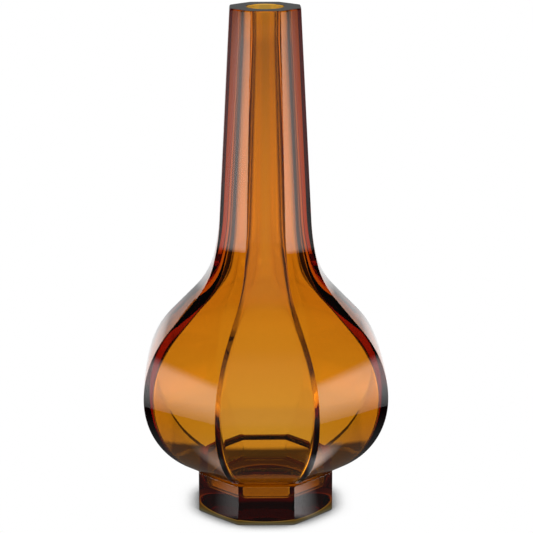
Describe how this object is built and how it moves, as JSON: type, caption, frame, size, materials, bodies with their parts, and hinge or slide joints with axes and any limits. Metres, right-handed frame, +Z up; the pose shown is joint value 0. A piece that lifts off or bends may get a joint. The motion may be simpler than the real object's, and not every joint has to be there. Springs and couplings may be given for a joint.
{
  "type": "bud vase",
  "caption": "Faceted amber glass bud vase: bulbous octagonal body, long tapered neck with a narrow round mouth, on an octagonal foot.",
  "frame": {"origin": "centre of the underside of the foot, on the table", "axes": "+Z up the axis of the vase, -Y out of one flat facet, +X to the right of it"},
  "size_m": [0.122, 0.122, 0.254],
  "materials": {
    "vessel_glass": "polished, amber right through",
    "foot_glass": "polished, amber right through",
    "clear_bond": "clear cured adhesive"
  },
  "bodies": {
    "root": {"vessel": "vessel_glass", "foot": "foot_glass", "bond": "clear_bond"}
  },
  "joints": []
}
